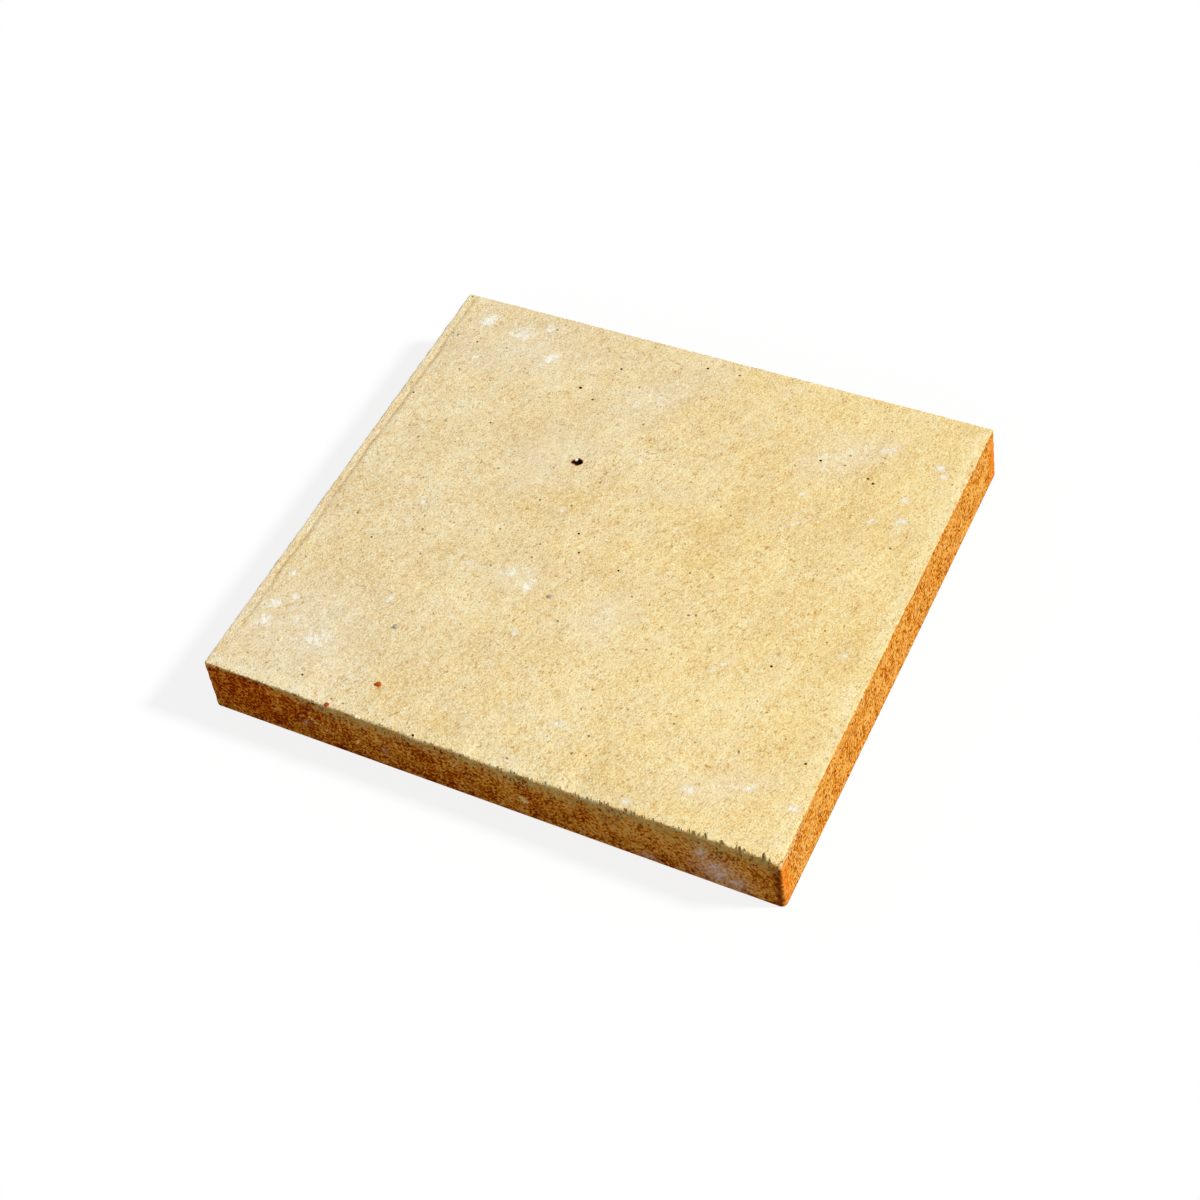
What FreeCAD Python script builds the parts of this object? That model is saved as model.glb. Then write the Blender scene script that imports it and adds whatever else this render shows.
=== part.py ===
import FreeCAD, Part

import math
import os

# Refractory firebrick slab, one piece of fired fireclay.
# Millimetres. X runs along the front side, Y from front to back, Z up.
# The origin is the middle of the bed, the face that the slab lies on.

# Slab, with its length and width measured over the bed
SLAB_LENGTH = 275.0
SLAB_WIDTH = 250.0
SLAB_THICKNESS = 30.0

# Lean of the four sides, which lets the pressed slab out of its mould bed first
DRAFT_DEG = 3.2

# Upright corners, and the arrises, which are the long edges round the struck face and the bed
CORNER_RADIUS = 1.0
TOP_ARRIS_RADIUS = 0.9
BED_ARRIS_CHAMFER = 0.6

# Wear on the point where the front, the right side and the struck face meet, its depth taken from the sharp point
WORN_POINT_WIDTH = 24.0
WORN_POINT_DEPTH = 2.2

# Dip that wear left in the struck face along the front arris, its depth taken from the arris's sharp line
# and its lean from the level
DIP_FROM_LEFT = 148.0
DIP_LENGTH = 190.0
DIP_DEPTH = 1.75
DIP_LEAN_DEG = 12.0

# Crease that the strike-off left in the struck face, beside the left side
CREASE_INSET = 4.5
CREASE_WIDTH = 1.1
CREASE_DEPTH = 0.6
CREASE_SWAY = 0.5
CREASE_WAVES = 4
CREASE_BACK_GAP = 6.0
CREASE_FRONT_GAP = 21.0

# Burnt-out pit in the struck face: a main hollow with a smaller one running into it
PIT_FROM_LEFT = 102.2
PIT_FROM_BACK = 83.6
PIT_MOUTH_RADIUS = 1.8
PIT_DEPTH = 2.4
PIT_LOBE_MOUTH_RADIUS = 1.0
PIT_LOBE_DEPTH = 1.4
PIT_LOBE_REACH = 2.1
PIT_LOBE_ANGLE_DEG = 195.0

# Edges of the struck face, set in from those of the bed by the draft
LEAN = SLAB_THICKNESS * math.tan(math.radians(DRAFT_DEG))
TOP_LEFT = LEAN - SLAB_LENGTH / 2
TOP_RIGHT = SLAB_LENGTH / 2 - LEAN
TOP_FRONT = LEAN - SLAB_WIDTH / 2
TOP_BACK = SLAB_WIDTH / 2 - LEAN

UP = FreeCAD.Vector(0, 0, 1)

# Heights closer than this are one height
SAME_PLACE = 1e-6


def drafted_block():
    """Block with the bed's full outline below and the struck face's smaller one above."""
    half_length = SLAB_LENGTH / 2
    half_width = SLAB_WIDTH / 2
    block = Part.makeWedge(
        -half_length,
        0,
        -half_width,
        LEAN - half_width,
        LEAN - half_length,
        half_length,
        SLAB_THICKNESS,
        half_width,
        half_width - LEAN,
        half_length - LEAN,
    )
    block.rotate(FreeCAD.Vector(), FreeCAD.Vector(1, 0, 0), 90)
    return block


def upright_edges(solid):
    """The four edges from the bed to the struck face."""
    return [
        edge
        for edge in solid.Edges
        if abs(edge.CenterOfMass.z - SLAB_THICKNESS / 2) < SAME_PLACE
    ]


def rim_edges(solid, height):
    """Edges of the solid that lie wholly in the level plane at that height."""
    return [
        edge
        for edge in solid.Edges
        if all(abs(vertex.Z - height) < SAME_PLACE for vertex in edge.Vertexes)
    ]


def pressed_slab():
    """The drafted block with its corners and struck arris rounded and its bed arris eased."""
    slab = drafted_block()
    slab = slab.makeFillet(CORNER_RADIUS, upright_edges(slab))
    slab = slab.makeFillet(TOP_ARRIS_RADIUS, rim_edges(slab, SLAB_THICKNESS))
    return slab.makeChamfer(BED_ARRIS_CHAMFER, rim_edges(slab, 0))


def crease_path():
    """Wandering line on the struck face: equal arcs that bow to either side in turn."""
    x = TOP_LEFT + CREASE_INSET
    start = TOP_FRONT + CREASE_FRONT_GAP
    end = TOP_BACK - CREASE_BACK_GAP
    bow_length = (end - start) / (2 * CREASE_WAVES)
    edges = []
    for bow in range(2 * CREASE_WAVES):
        near = FreeCAD.Vector(x, start + bow * bow_length, SLAB_THICKNESS)
        far = FreeCAD.Vector(x, near.y + bow_length, SLAB_THICKNESS)
        side = CREASE_SWAY if bow % 2 else -CREASE_SWAY
        crown = FreeCAD.Vector(x + side, near.y + bow_length / 2, SLAB_THICKNESS)
        edges.append(Part.Arc(near, crown, far).toShape())
    return Part.Wire(edges)


def crease_cutter():
    """V-shaped groove carried along the crease's line, standing a little above the struck face."""
    path = crease_path()
    first = path.OrderedEdges[0]
    start = first.valueAt(first.FirstParameter)
    across = first.tangentAt(first.FirstParameter).cross(UP).normalize()
    clear = CREASE_DEPTH
    half_width = CREASE_WIDTH / 2 * (CREASE_DEPTH + clear) / CREASE_DEPTH
    bottom = start - UP * CREASE_DEPTH
    left = start + UP * clear - across * half_width
    right = start + UP * clear + across * half_width
    profile = Part.makePolygon([bottom, right, left, bottom])
    return path.makePipeShell([profile], True, False)


def sinking_radius(half_width, depth):
    """Radius of the arc that has that half width and sinks to that depth."""
    return (half_width ** 2 + depth ** 2) / (2 * depth)


def sinking_ball(mouth, outward, half_width, depth):
    """Ball that sinks to that depth below the mouth's middle and is that wide in its plane."""
    radius = sinking_radius(half_width, depth)
    return Part.makeSphere(radius, mouth + outward * (radius - depth))


def dip_cutter():
    """Wide cylinder that grazes the struck face at the front arris, its axis falling towards the front."""
    middle = FreeCAD.Vector(TOP_LEFT + DIP_FROM_LEFT, TOP_FRONT, SLAB_THICKNESS)
    lean = math.radians(DIP_LEAN_DEG)
    outward = FreeCAD.Vector(0, -math.sin(lean), math.cos(lean))
    inward = FreeCAD.Vector(0, math.cos(lean), math.sin(lean))
    radius = sinking_radius(DIP_LENGTH / 2, DIP_DEPTH)
    reach = 2 * DIP_DEPTH / math.sin(lean)
    start = middle + outward * (radius - DIP_DEPTH) - inward * reach
    return Part.makeCylinder(radius, 2 * reach, start, inward)


def worn_point_cutter():
    """Wide ball that grazes the front right point, leaning out evenly from its three faces."""
    point = FreeCAD.Vector(TOP_RIGHT, TOP_FRONT, SLAB_THICKNESS)
    outward = FreeCAD.Vector(1, -1, 1).normalize()
    return sinking_ball(point, outward, WORN_POINT_WIDTH / 2, WORN_POINT_DEPTH)


def pit_cutter():
    """Main hollow of the pit fused with its side lobe."""
    middle = FreeCAD.Vector(TOP_LEFT + PIT_FROM_LEFT, TOP_BACK - PIT_FROM_BACK, SLAB_THICKNESS)
    angle = math.radians(PIT_LOBE_ANGLE_DEG)
    aside = FreeCAD.Vector(math.cos(angle), math.sin(angle), 0) * PIT_LOBE_REACH
    main = sinking_ball(middle, UP, PIT_MOUTH_RADIUS, PIT_DEPTH)
    lobe = sinking_ball(middle + aside, UP, PIT_LOBE_MOUTH_RADIUS, PIT_LOBE_DEPTH)
    return main.fuse(lobe)


def firebrick_slab():
    """The finished slab as one sound solid."""
    wear = [dip_cutter(), worn_point_cutter(), crease_cutter(), pit_cutter()]
    shape = pressed_slab().cut(wear)
    if len(shape.Solids) != 1 or not shape.isValid():
        raise RuntimeError("the slab is not one sound solid")
    return shape.Solids[0]


os.makedirs("parts", exist_ok=True)
firebrick_slab().exportStep("parts/firebrick_slab.step")
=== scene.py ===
import itertools
import math

import bpy
import numpy as np
from bpy.props import FloatProperty, FloatVectorProperty, PointerProperty
from mathutils import Matrix, Vector


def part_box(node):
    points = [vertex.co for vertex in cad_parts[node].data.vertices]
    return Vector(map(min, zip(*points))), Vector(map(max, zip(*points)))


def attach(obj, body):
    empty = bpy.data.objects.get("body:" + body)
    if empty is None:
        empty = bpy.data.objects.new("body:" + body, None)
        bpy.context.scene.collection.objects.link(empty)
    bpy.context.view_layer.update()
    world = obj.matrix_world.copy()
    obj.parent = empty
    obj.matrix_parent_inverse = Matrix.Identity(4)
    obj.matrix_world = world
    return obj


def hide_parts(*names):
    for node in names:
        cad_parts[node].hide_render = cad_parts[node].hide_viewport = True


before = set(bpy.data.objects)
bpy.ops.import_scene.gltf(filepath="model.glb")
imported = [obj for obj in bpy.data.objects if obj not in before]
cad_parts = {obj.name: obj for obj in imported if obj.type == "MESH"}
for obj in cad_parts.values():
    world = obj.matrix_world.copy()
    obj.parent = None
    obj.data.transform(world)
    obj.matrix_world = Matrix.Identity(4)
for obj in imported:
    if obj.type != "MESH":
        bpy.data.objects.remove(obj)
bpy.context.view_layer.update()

bl_info = {
    "name": "Firebrick Slab",
    "version": (1, 0, 0),
    "blender": (4, 5, 0),
    "location": "View3D > Sidebar > Firebrick",
    "description": "Dresses a fireclay slab with skin, grain, specks and crumbs, and sets a studio stage",
    "category": "Add Mesh",
}

MM = 0.001
NODE = "firebrick_slab"
BODY = "root"
BED_LOW, BED_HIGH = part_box(NODE)

# Cells of the slab's net. Both counts of the struck face divide by eight, because the bed's three rings,
# each drawn in to its share of the bed's rim, halve their points in turn.
CELLS_X = 360
CELLS_Y = 160
SIDE_ROWS = 33
BED_SHRINK = (0.985, 0.96, 0.92)

# Samples of the density that the net's lines share out
LINE_SAMPLES = 6001

# Layout of the slab's own UV map, in which the struck face spans this share of the width
STRUCK_SHARE = 0.70
UV_MARGIN = 0.01
STRIP_PITCH = 0.083
BED_SHARE = 0.26

# Direction in which the strike-off bar dragged across the struck face, from +X
DRAG_DEG = 66

# How dark the painted shade lies in the crease, and in the pits of the sides
CREASE_SHADE = 0.55
PIT_SHADE = 0.25

# Lumps: points round and rows of each one's ball, and the steps from one to the next through their noise
LUMP_AROUND = 9
LUMP_ROWS = 5
LUMP_STEPS = (7.3, 3.1, 5.7)

# Tints that multiply a colour: none, the cool and warm patches of the skin, and the burnt body
WHITE = (1, 1, 1, 1)
COOL_TINT = (0.96, 0.99, 1.12, 1)
WARM_TINT = (1.06, 1.02, 0.875, 1)
SCORCH_TINT = (1.06, 0.83, 0.72, 1)

# Half sizes of a speck along x, y and z, as shares of its width
SPECK_SHARES = (0.65, 0.6, 0.3)

# Crumbs on the front arris and grains on the sides that chance places, the grains' shares on the front,
# right, back and left, how far towards a side's ends they lie, and the lumps in a torn ridge
CRUMB_COUNT = 330
GRIT_COUNT = 460
GRIT_SHARES = (0.30, 0.25, 0.25, 0.20)
PLACED_SHARE = 0.97
RIDGE_LUMPS = 10

# Floor: half its width, its gap under the bed, the light that it throws back, and the share of glow in
# what the camera sees of it
FLOOR_HALF = 4.0
FLOOR_GAP = 0.1 * MM
FLOOR_BOUNCE = 0.35
FLOOR_GLOW = 0.85

# Dust on the struck face: x, y, half length, half width in millimetres, turn in degrees, strength
CHALK_MARKS = (
    (-105, -88, 34, 22, 20, 0.34),
    (-95, 98, 40, 17, 15, 0.34),
    (-16, 91, 32, 13, 53, 0.38),
    (-45, 41, 24, 18, 53, 0.30),
    (82, 86, 26, 12, 40, 0.38),
    (18, -36, 18, 12, 50, 0.34),
    (-26, -32, 14, 9, 30, 0.40),
    (100, -98, 26, 8, 30, 0.34),
    (-118, 109, 6, 3.5, 55, 0.95),
    (-97, 106, 8, 6, 40, 0.74),
    (-77, 95, 9, 5, 50, 0.66),
    (-86, 114, 2.5, 4, 0, 0.80),
    (-112, 84, 1.6, 1.4, 0, 0.95),
    (122, 93, 2.6, 2.2, 0, 1.05),
    (125, 88, 2.2, 1.6, 60, 0.90),
    (114, 70, 1.8, 1.6, 0, 1.05),
    (117, 57, 2.4, 1.9, 30, 1.00),
    (104, 53, 2.0, 1.2, 40, 0.95),
    (70, 81, 3.2, 1.5, 50, 0.85),
    (63, 77, 1.8, 1.2, 50, 0.80),
    (96, 95, 6, 4, 45, 0.60),
    (-27, 11, 1.6, 1.0, 0, 0.95),
    (-38, 61, 1.3, 1.0, 0, 0.85),
    (-22, -35, 2.4, 2.6, 0, 1.05),
    (-32, -29, 4, 3, 30, 0.70),
    (-76, -62, 1.8, 2.6, 0, 0.90),
    (-90, -7, 1.5, 1.2, 0, 0.90),
    (-125, -65, 2.0, 1.6, 0, 0.95),
    (-117, -77, 2.2, 1.8, 0, 1.05),
    (-110, -87, 2.0, 1.6, 0, 0.95),
    (-124, -83, 4, 3, 30, 0.85),
    (-123, -93, 4, 5, 0, 0.85),
    (-96, -94, 13, 8, 10, 0.60),
    (25, -95, 3.6, 1.3, 10, 1.00),
    (67, -119, 1.7, 1.3, 0, 1.10),
    (88, -105, 3.4, 1.8, 20, 1.05),
    (111, -95, 4.6, 1.2, 50, 0.85),
    (131, -97, 2.2, 1.6, 0, 0.85),
    (121, -20, 1.7, 1.3, 0, 0.80),
    (-15, -59, 1.8, 2.4, 0, 0.75),
    (75, -43, 9, 0.9, 49, 0.62),
    (74.8, 41, 8.5, 0.8, 44, 0.64),
    (72, 45.5, 8, 0.8, 55, 0.58),
    (70.2, 57.4, 2.5, 0.9, 71, 0.90),
    (-50, -31, 8, 1.0, 2, 0.72),
    (-36, -31, 6, 1.5, -5, 0.80),
)

# Dust on the front side: x, height, half length, half width in millimetres, turn in degrees, strength
FRONT_DUST = (
    (101.5, 18.5, 5, 3, 80, 0.62),
    (108, 9, 9, 7.5, -10, 0.63),
    (115, 6, 6, 5, 0, 0.62),
    (77, 2.5, 3.5, 1.6, 0, 0.50),
    (-87, 11.5, 1.8, 1.3, 0, 0.45),
    (-47, 11.5, 2.0, 1.4, 0, 0.40),
)

# Dark nicks in the front side, and cracks that are painted shadow lines under its torn ridges, given as its
# dust is
NICKS_AND_RIDGE_SHADOWS = (
    (-75.5, 28.3, 2.0, 0.9, -10, 1.0),
    (-78.0, 12.6, 4.0, 0.6, -32, 0.8),
    (-5.5, 15.0, 5.0, 0.6, -30, 0.5),
    (-85.5, 10.3, 1.6, 0.9, 0, 0.7),
    (-45.5, 10.4, 1.8, 0.9, 0, 0.7),
)

# Iron specks in the struck face: x, y, width in millimetres
IRON_SPECKS = (
    (-2, 115, 1.2),
    (-41, 101, 1.1),
    (-54, 83, 1.3),
    (-129, 53, 1.0),
    (-116, 94, 0.9),
    (-84, 48, 0.9),
    (-45, 78, 1.0),
    (94, 76, 1.2),
    (97, 74, 1.2),
    (70, 79, 1.1),
    (-9, -9, 1.1),
    (12, -12, 0.9),
    (-14, 1, 0.9),
    (95, -36, 1.2),
    (-102, -34, 0.9),
    (-91, -113, 1.0),
    (127, -76, 1.0),
    (-31, -122, 1.0),
)

# Crumbs of red brick on the struck face: x, y, width in millimetres
RUST_SPECKS = (
    (-57.7, -105.4, 2.6),
    (-73.6, -122.3, 2.2),
    (14, 116, 0.9),
)

# Grey grains in the struck face: x, y, width in millimetres
GREY_SPECKS = (
    (-110.7, -99.9, 2.2),
    (-104.4, 42.4, 2.4),
    (-66, -75, 2.4),
    (-10, -36, 2.2),
    (-26, -20.5, 1.4),
)

# Pale crumbs on the struck face, the first in the pit's mouth: x, y, width in millimetres
PALE_CRUMBS = (
    (-35.1, 40.8, 1.3),
    (-7, 50, 1.6),
)

# Long crumbs on the front arris: x, length in millimetres
LONG_CRUMBS = (
    (39, 0.8),
    (46, 0.9),
    (53, 0.8),
    (59, 0.7),
    (61, 0.9),
    (81, 0.9),
    (97, 0.9),
    (99, 1.0),
    (104, 1.3),
    (111, 0.9),
    (129, 1.5),
)

# Pale chips on the front arris: x, height, half width in millimetres
PALE_CHIPS = (
    (-58.0, 29.2, 1.1),
    (-56.6, 29.5, 0.9),
)

# Torn ridges on the front side: x and height of each end in millimetres
FRONT_RIDGES = (
    (-84, 16.8, -75, 11.2),
    (-13, 20.2, -1, 12.9),
)

# Straw-coloured chips on the front side: x, height, half width in millimetres
STRAW_CHIPS = (
    (19.3, 13.5, 0.9),
    (20.3, 12.8, 1.1),
    (21.3, 12.1, 1.1),
    (22.2, 11.4, 0.8),
    (-60.6, 11.4, 0.9),
    (-59.6, 12.4, 0.9),
)


def length_setting(name, description, size_mm):
    """Length that a user may change, its default given in millimetres."""
    return FloatProperty(name=name, description=description, default=size_mm * MM, unit="LENGTH")


def angle_setting(name, description, degrees):
    """Angle that a user may change, its default given in degrees."""
    return FloatProperty(name=name, description=description, default=math.radians(degrees), subtype="ANGLE")


def level_setting(name, description, level):
    """Level of light that a user may change, where 1 shows a colour as written."""
    return FloatProperty(name=name, description=description, default=level)


def colour_setting(name, description, *colour):
    """Colour that a user may change, its default given as red, green and blue."""
    return FloatVectorProperty(name=name, description=description, default=colour, subtype="COLOR")


class SlabShape(bpy.types.PropertyGroup):
    """Sizes of the fired slab that its packed box doesn't give."""

    draft: angle_setting("Draft", "Lean of the four sides", 3.2)
    corner_radius: length_setting("Corner radius", "Rounding of the upright corners", 0.8)
    arris_radius: length_setting("Arris radius", "Rounding of the edges of the struck face", 0.55)
    bed_radius: length_setting("Bed arris radius", "Rounding of the edges of the bed", 0.4)
    worn_width: length_setting("Worn point width", "Width of the wear on the front right point", 24)
    worn_depth: length_setting("Worn point depth", "Depth of that wear, from the sharp point", 2.2)
    dip_from_left: length_setting("Dip place", "Middle of the worn dip from the struck face's left edge", 148)
    dip_length: length_setting("Dip length", "Length of the worn dip along the front arris", 190)
    dip_depth: length_setting("Dip depth", "Depth of the worn dip at the front arris", 2.2)
    dip_reach: length_setting("Dip reach", "How far the worn dip runs into the struck face", 14)
    crease_inset: length_setting("Crease inset", "Crease from the struck face's left edge", 4.5)
    crease_depth: length_setting("Crease depth", "Depth of the crease", 0.32)
    pit_from_left: length_setting("Pit place, left", "Pit's middle from the struck face's left edge", 102.2)
    pit_from_back: length_setting("Pit place, back", "Pit's middle from the struck face's back edge", 83.6)
    pit_radius: length_setting("Pit radius", "Half the width of the pit's mouth", 1.8)
    pit_depth: length_setting("Pit depth", "Depth of the pit", 2.4)


class ClayFinish(bpy.types.PropertyGroup):
    """Colours of the fired clay and what lies on it."""

    cream: colour_setting("Cream skin", "Middle tone of the struck skin", 0.91, 0.715, 0.37)
    pale: colour_setting("Pale skin", "Light grains of the struck skin", 1.0, 0.915, 0.62)
    ochre: colour_setting("Ochre skin", "Dark grains of the struck skin", 0.72, 0.485, 0.18)
    # Pores also gives the colour of the painted shade in the crease
    pore: colour_setting("Pores", "Pinholes in the struck skin and dirt on it", 0.47, 0.245, 0.06)
    soot: colour_setting("Soot", "Deep pores in the struck skin", 0.20, 0.080, 0.012)
    tawny: colour_setting("Tawny skin", "Brown spots of the struck skin", 0.80, 0.49, 0.165)
    thin: colour_setting("Thin skin", "Tint of the skin where it thins over the arrises", 0.74, 0.62, 0.33)
    # Charred body also gives the colour of the painted shade on the sides and of the front's nicks
    char: colour_setting("Charred body", "Charred grains of the sides and their dirt", 0.21, 0.027, 0.0015)
    burnt: colour_setting("Burnt body", "Sides where the flame burnt them", 0.47, 0.110, 0.007)
    orange: colour_setting("Orange body", "Middle tone of the sides", 0.71, 0.215, 0.0082)
    amber: colour_setting("Amber body", "Sides where the flame touched them lightly", 0.80, 0.335, 0.026)
    straw: colour_setting("Straw body", "Lightest grains of the sides", 0.87, 0.48, 0.130)
    ember: colour_setting("Ember body", "Ends of the right side that the flame lit up", 0.92, 0.215, 0.008)
    # Partly painted light: pale flakes made paler to stand in for the light that the straw chips and the torn
    # ridges' tops catch
    lit_flake: colour_setting("Flakes", "Torn ridges and straw chips on the front side", 1.0, 0.66, 0.28)
    ash: colour_setting("Ash", "Dust on the bare body", 0.86, 0.65, 0.51)
    chalk: colour_setting("Chalk", "Dust on the skin", 1.0, 0.95, 0.80)
    haze: colour_setting("Haze", "Thin veil of dust round the chalk marks", 0.88, 0.81, 0.67)
    grey: colour_setting("Grey", "Grey grains of the skin", 0.46, 0.40, 0.30)
    iron: colour_setting("Iron", "Burnt-out iron specks and the pit", 0.020, 0.008, 0.002)
    rust: colour_setting("Rust", "Crumbs of red brick and the pit's rim", 0.50, 0.10, 0.012)
    maroon: colour_setting("Maroon", "Dark side of the red crumbs", 0.25, 0.03, 0.004)
    # Painted shade: the crumbs on the front arris take this dark colour to read as seen from their shaded
    # side
    shaded_olive: colour_setting("Olive", "Dark crumbs on the front arris", 0.25, 0.18, 0.065)


class StudioStage(bpy.types.PropertyGroup):
    """Camera and light of the studio."""

    azimuth: angle_setting("Azimuth", "Turn of the camera to the right of the front", 34.030)
    elevation: angle_setting("Elevation", "Height of the camera above the horizon", 50.599)
    roll: angle_setting("Roll", "Turn of the camera about its own line of sight", -10.200)
    distance: length_setting("Distance", "From the camera to the point that it aims at", 911.88)
    aim: FloatVectorProperty(
        name="Aim",
        description="Point in the middle of the picture",
        default=(0.00477, -0.01955, 0.015),
        subtype="XYZ",
        unit="LENGTH",
    )
    field: angle_setting("Field of view", "Angle across the picture", 32.515)
    key_azimuth: angle_setting("Key azimuth", "Turn of the key light from the right towards the back", 25)
    key_elevation: angle_setting("Key elevation", "Height of the key light above the horizon", 39.5)
    key_spread: angle_setting("Key spread", "Angle that the key light fills, which softens its shadows", 8)
    key_level: level_setting("Key level", "Key light on a surface square to it", 1.13)
    front_azimuth: angle_setting("Front azimuth", "Turn of the front light, counted as the key light's", -80)
    front_elevation: angle_setting("Front elevation", "Height of the front light above the horizon", 25)
    front_spread: angle_setting("Front spread", "Angle that the front light fills", 70)
    front_level: level_setting("Front level", "Front light on a surface square to it", 0.18)
    fill_level: level_setting("Fill level", "Light from all round", 0.20)


class FirebrickSettings(bpy.types.PropertyGroup):
    """Everything about the slab that a user may change."""

    shape: PointerProperty(type=SlabShape)
    finish: PointerProperty(type=ClayFinish)
    stage: PointerProperty(type=StudioStage)


# Number fields

def hashed(cells, seed):
    """One number from -1 to 1 for each whole-number cell, by mixing its three indices and the seed
    with large odd multipliers."""
    parts = cells.astype(np.uint32)
    mixed = parts[..., 0] * np.uint32(374761393) + parts[..., 1] * np.uint32(668265263)
    mixed = mixed + parts[..., 2] * np.uint32(2246822519) + np.uint32(seed * 3266489 + 1)
    mixed = (mixed ^ (mixed >> np.uint32(15))) * np.uint32(2654435761)
    mixed = (mixed ^ (mixed >> np.uint32(13))) * np.uint32(1274126177)
    mixed = mixed ^ (mixed >> np.uint32(16))
    return mixed.astype(np.float64) / (2 ** 31 - 0.5) - 1


def lattice_noise(points, cell, seed):
    """Smooth noise from -1 to 1: random values on a lattice of that cell, eased across each cell."""
    scaled = points / cell
    base = np.floor(scaled)
    share = scaled - base
    share = share * share * (3 - 2 * share)
    base = base.astype(np.int64)
    total = np.zeros(points.shape[:-1])
    for corner in itertools.product((0, 1), repeat=3):
        weight = np.prod(np.where(corner, share, 1 - share), axis=-1)
        total += weight * hashed(base + np.array(corner), seed)
    return total


def eased(low, high, value):
    """Rises smoothly from 0 at low to 1 at high."""
    share = np.clip((value - low) / (high - low), 0, 1)
    return share * share * (3 - 2 * share)


def bell(value, reach):
    """Bell curve, 1 at zero and about a third at the reach."""
    return np.exp(-((value / reach) ** 2))


def stacked(*parts):
    """Arrays of one shape, side by side along a new last axis."""
    return np.stack(parts, axis=-1)


def lifted(flat, height):
    """Places or directions in plan, each with its height as a third number."""
    return np.concatenate([flat, np.broadcast_to(height, flat.shape[:-1])[..., None]], axis=-1)


# Slab's form

class SlabPlan:
    """Half sizes of the struck face and other measures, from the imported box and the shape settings."""

    def __init__(self, shape):
        self.shape = shape
        self.height = BED_HIGH.z - BED_LOW.z
        self.slope = math.tan(shape.draft)
        lean = (self.height - shape.bed_radius) * self.slope
        self.half_x = (BED_HIGH.x - BED_LOW.x) / 2 - lean
        self.half_y = (BED_HIGH.y - BED_LOW.y) / 2 - lean
        self.pit = np.array([shape.pit_from_left - self.half_x, self.half_y - shape.pit_from_back])
        self.point = np.array([self.half_x, -self.half_y, self.height])

    def dip_share(self, x):
        """How deep the front arris dips at each x, 0 to 1: a step down at the left, deepest in the middle,
        then a slow rise."""
        shape = self.shape
        along = (x + self.half_x - shape.dip_from_left) / (shape.dip_length / 2)
        step = eased(-1.07, -0.92, along) * (0.5 + 0.5 * eased(-0.75, -0.2, along))
        return step * eased(1.03, 0.12, along)

    def dip_drop(self, points):
        """Drop of the struck face and the front arris in the dip, which dies away inside and down
        the front."""
        inside = np.maximum(points[..., 1] + self.half_y, 0)
        ragged = 1 + 0.35 * lattice_noise(points * np.array([1, 0.2, 0.2]), 9 * MM, 14)
        down = eased(-10 * MM, -1.5 * MM, points[..., 2] - self.height)
        fade = np.exp(-inside / self.shape.dip_reach) * down
        return self.shape.dip_depth * self.dip_share(points[..., 0]) * ragged * fade

    def arris_radius(self, edge):
        """Rounding of the struck arris: the sound radius, more towards the right side's front end, with a
        ragged noise and nicks along the front."""
        front = eased(0.97, 1, -edge[..., 1] / self.half_y)
        right = eased(0.98, 1, edge[..., 0] / self.half_x)
        wander = 0.15 * MM * lattice_noise(edge, 14 * MM, 11) + 0.25 * MM * lattice_noise(edge, 3.2 * MM, 12)
        nicks = 1.0 * MM * eased(0.35, 0.9, lattice_noise(edge, 3.6 * MM, 13))
        soft = 0.4 * MM * eased(0.6, -0.9, edge[..., 1] / self.half_y)
        return self.shape.arris_radius + front * (wander + nicks) + right * soft


def crowded_lines(half, count, spots, reach, pull):
    """Places from -half to half that share out a density equally: 1, plus a bell at each spot."""
    fine = np.linspace(-half, half, LINE_SAMPLES)
    density = 1 + sum(pull * bell(fine - spot, reach) for spot in spots)
    shares = np.concatenate([[0], np.cumsum((density[1:] + density[:-1]) / 2)])
    return np.interp(np.linspace(0, shares[-1], count + 1), shares, fine)


def rounded_plan(plan, x, y):
    """Carries a rectangle's grid into the plan with round corners.

    In a corner's square, u and v run from 0 to 1 away from the arc's centre, and go to
    u * sqrt(1 - v * v / 2) and v * sqrt(1 - u * u / 2), which sends the square's far sides to the arc.
    Gives the places, the distance in from the outline and the outward direction in plan, which
    well inside is that of the nearest side."""
    radius = plan.shape.corner_radius
    u = np.clip((np.abs(x) - plan.half_x + radius) / radius, 0, 1)
    v = np.clip((np.abs(y) - plan.half_y + radius) / radius, 0, 1)
    over = stacked(u * np.sqrt(1 - v * v / 2), v * np.sqrt(1 - u * u / 2)) * radius
    sign = stacked(np.sign(x), np.sign(y))
    half = np.array([plan.half_x, plan.half_y])
    core = np.minimum(stacked(np.abs(x), np.abs(y)), half - radius)
    inside = half - core
    nearest = stacked(inside[..., 0] <= inside[..., 1], inside[..., 0] > inside[..., 1])
    beyond = np.linalg.norm(over, axis=-1)
    in_rim = beyond > 0
    depth = np.where(in_rim, radius - beyond, inside.min(axis=-1))
    outward = np.where(in_rim[..., None], over / np.maximum(beyond, 1e-9)[..., None], nearest)
    return sign * (core + over), depth, sign * outward


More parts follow.
